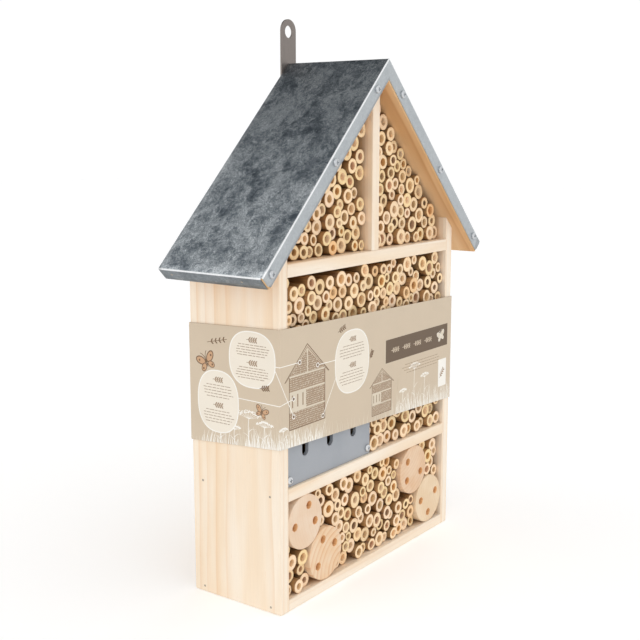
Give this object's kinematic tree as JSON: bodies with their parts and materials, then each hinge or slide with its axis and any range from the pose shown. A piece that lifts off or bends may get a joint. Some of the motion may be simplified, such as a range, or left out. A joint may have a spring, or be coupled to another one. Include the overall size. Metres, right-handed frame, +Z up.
{
  "type": "insect hotel",
  "caption": "House-shaped insect hotel: pine box with bamboo tubes, drilled logs, a slotted butterfly chamber, a folded metal roof, a wall strap and a loose card band.",
  "frame": {"origin": "centre of the house's underside, midway between its sides and between its front and back edges", "axes": "+Z up, the open front faces -Y, +X to the right seen from the front"},
  "size_m": [0.316, 0.1043, 0.451],
  "materials": {
    "pine": "planed softwood, bare",
    "roof_pine": "planed softwood, bare",
    "plywood": "thin plywood, bare",
    "bamboo": "cut bamboo, bare",
    "log": "peeled and sawn softwood, bare",
    "galvanised": "galvanised sheet with spangle",
    "plate": "satin blue-grey",
    "screw": "bright zinc",
    "nail": "plain steel",
    "strap": "warm grey",
    "card": "matt printed card"
  },
  "bodies": {
    "house": {"back_board": "plywood", "back_nails": "nail", "bottom_board": "pine", "butterfly_plate": "plate", "carcass_nails": "nail", "chamber_divider": "pine", "drilled_log_lower_left": "log", "drilled_log_lower_right": "log", "drilled_log_upper_left": "log", "drilled_log_upper_right": "log", "eave_nails": "nail", "gable_divider": "pine", "gable_floor": "pine", "hanger_strap": "strap", "lower_shelf": "pine", "middle_shelf": "pine", "plate_cleat": "pine", "plate_screws": "screw", "roof_board_left": "roof_pine", "roof_board_right": "roof_pine", "roof_nails": "nail", "roof_screws": "screw", "roof_sheet": "galvanised", "side_board_left": "pine", "side_board_right": "pine", "strap_screws": "screw", "tubes_bottom_tier": "bamboo", "tubes_gable_left": "bamboo", "tubes_gable_right": "bamboo", "tubes_middle_tier": "bamboo", "tubes_top_tier": "bamboo"},
    "band": {"card_band": "card"}
  },
  "joints": [
    {"name": "band_slide", "type": "slide", "parent": "house", "child": "band", "axis": [0, 0, 1], "range_m": [-0.112, 0.054]}
  ]
}
